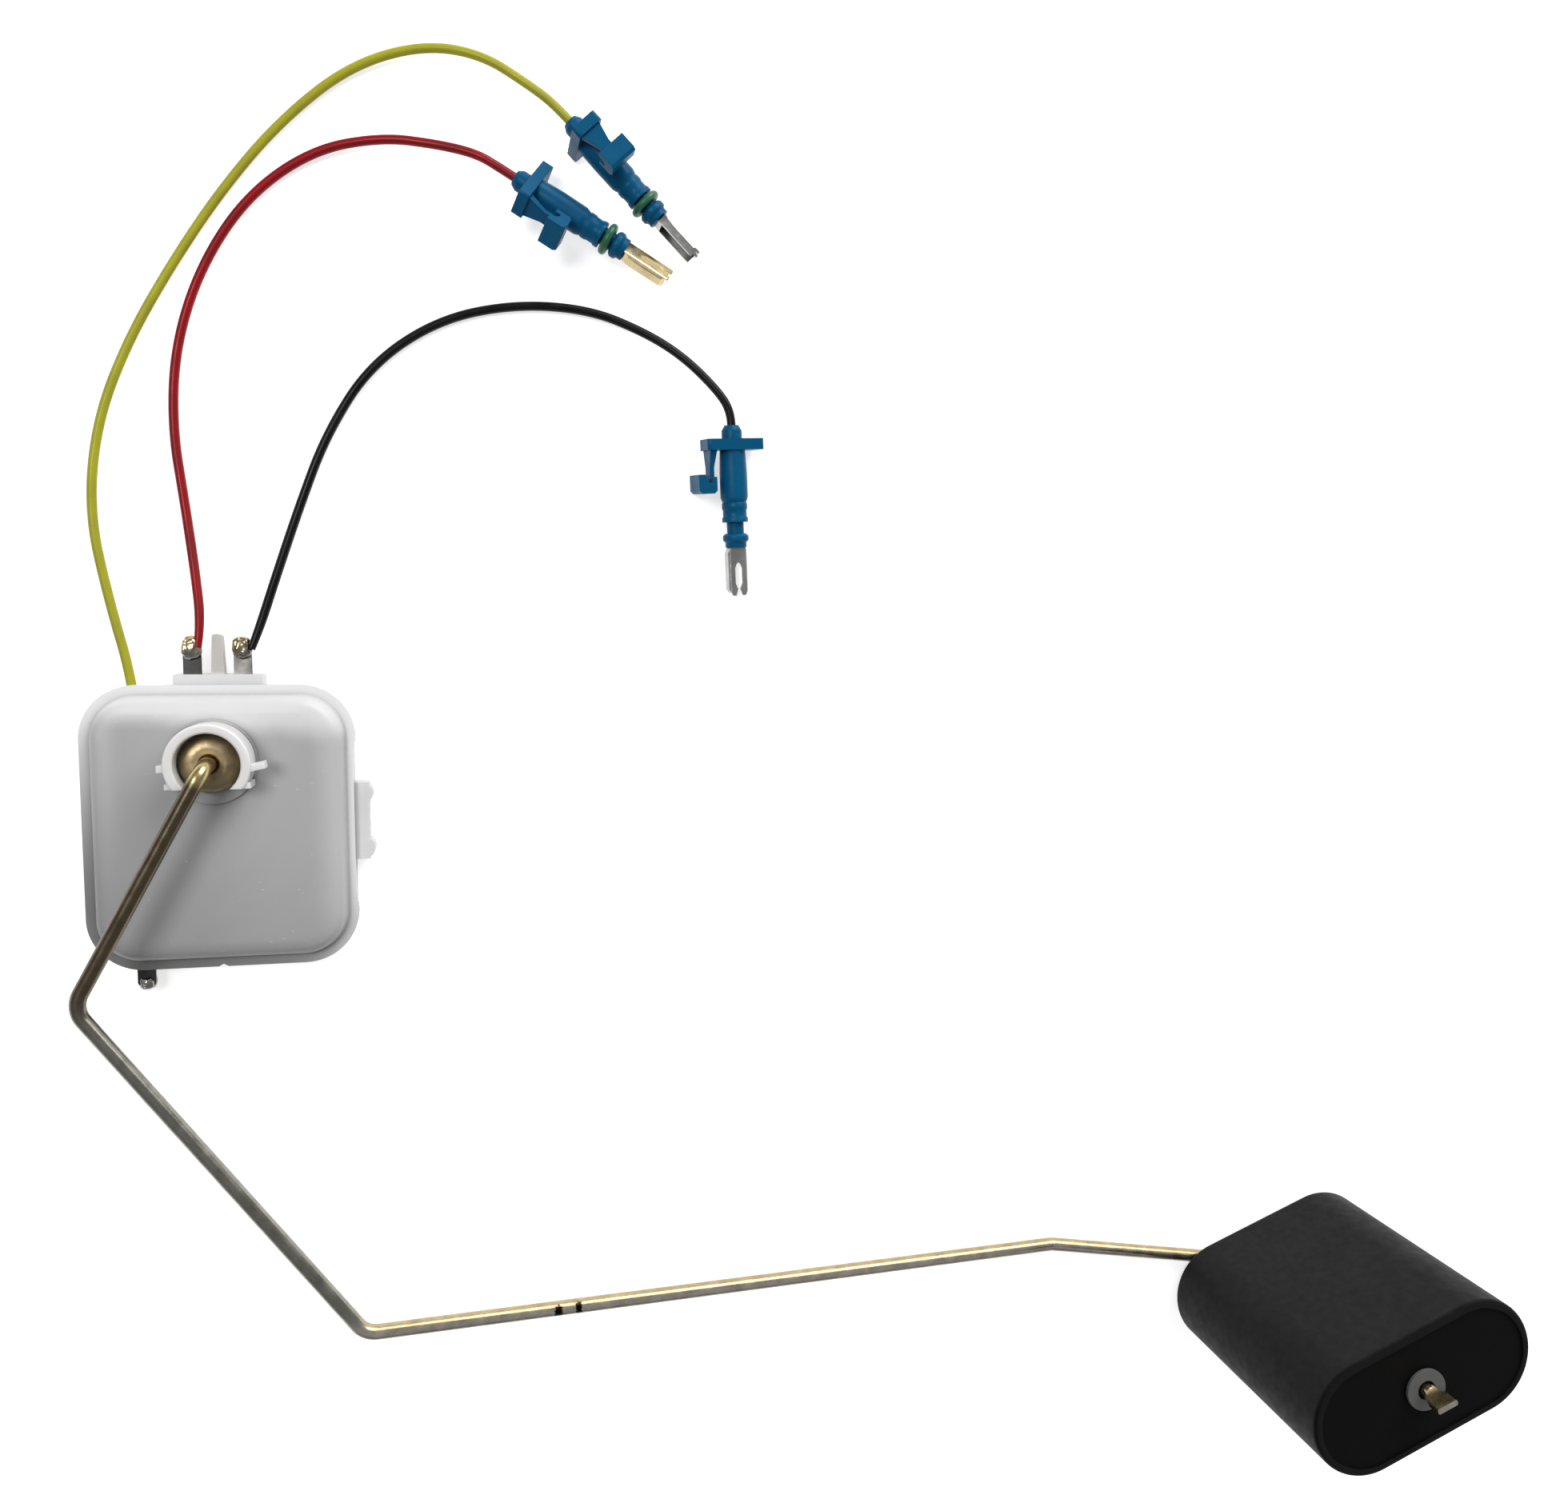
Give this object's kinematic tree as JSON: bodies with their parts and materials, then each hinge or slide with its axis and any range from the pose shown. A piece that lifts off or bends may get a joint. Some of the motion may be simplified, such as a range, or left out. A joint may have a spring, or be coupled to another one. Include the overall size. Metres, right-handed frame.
{
  "type": "fuel level sender",
  "caption": "Fuel level sender: a plastic resistor housing with a brass hub, a bent wire arm, a black foam float, and cords that end in blue plugs with fork terminals.",
  "frame": {"origin": "where the hub's axis meets the housing's flat back", "axes": "+Z along the hub's axis, from the back towards the arm; +X towards the side clip and the float; +Y towards the two upper terminals"},
  "size_m": [0.2906, 0.289, 0.0665],
  "materials": {
    "shell_plastic": "satin moulded",
    "lid_plastic": "satin moulded",
    "clip_plastic": "satin moulded",
    "card_substrate": "matte",
    "track_ink": "matte printed",
    "track_metal": "satin",
    "tinned_blade": "satin tinned",
    "solder": "bright, uneven",
    "hub_brass": "dull turned",
    "carrier_plastic": "matte",
    "spring_bronze": "satin",
    "arm_wire": "drawn wire, lightly yellowed",
    "washer_grey": "matte",
    "float_foam": "matte moulded skin",
    "cord_yellow": "satin insulation",
    "cord_red": "satin insulation",
    "cord_black": "glossy insulation",
    "plug_blue": "satin moulded",
    "fork_silver": "tinned",
    "fork_gold": "bright plated",
    "o_ring_green": "matte"
  },
  "bodies": {
    "housing": {"base_shell": "shell_plastic", "lid": "lid_plastic", "retaining_clip": "clip_plastic", "resistor_card": "card_substrate", "resistor_track": "track_ink", "contact_track": "track_metal", "terminal_red": "tinned_blade", "terminal_black": "tinned_blade", "terminal_yellow": "tinned_blade", "solder_red": "solder", "solder_black": "solder", "solder_yellow": "solder", "yellow_cord": "cord_yellow", "plug_yellow": "plug_blue", "fork_yellow": "fork_silver", "o_ring_yellow": "o_ring_green", "red_cord": "cord_red", "plug_red": "plug_blue", "fork_red": "fork_gold", "o_ring_red": "o_ring_green", "black_cord": "cord_black", "plug_black": "plug_blue", "fork_black": "fork_silver"},
    "arm": {"hub": "hub_brass", "wiper_carrier": "carrier_plastic", "wiper_spring": "spring_bronze", "wiper_contacts": "spring_bronze", "float_arm": "arm_wire", "float_washer": "washer_grey"},
    "float": {"float": "float_foam"}
  },
  "joints": [
    {"name": "arm_swing", "type": "hinge", "parent": "housing", "child": "arm", "pos_m": [0, 0, 0], "axis": [0, 0, 1], "range_deg": [-5.5, 62.5]},
    {"name": "float_spin", "type": "hinge", "parent": "arm", "child": "float", "pos_m": [0.24007, -0.13063, 0], "axis": [0, 0, 1], "continuous": true}
  ]
}
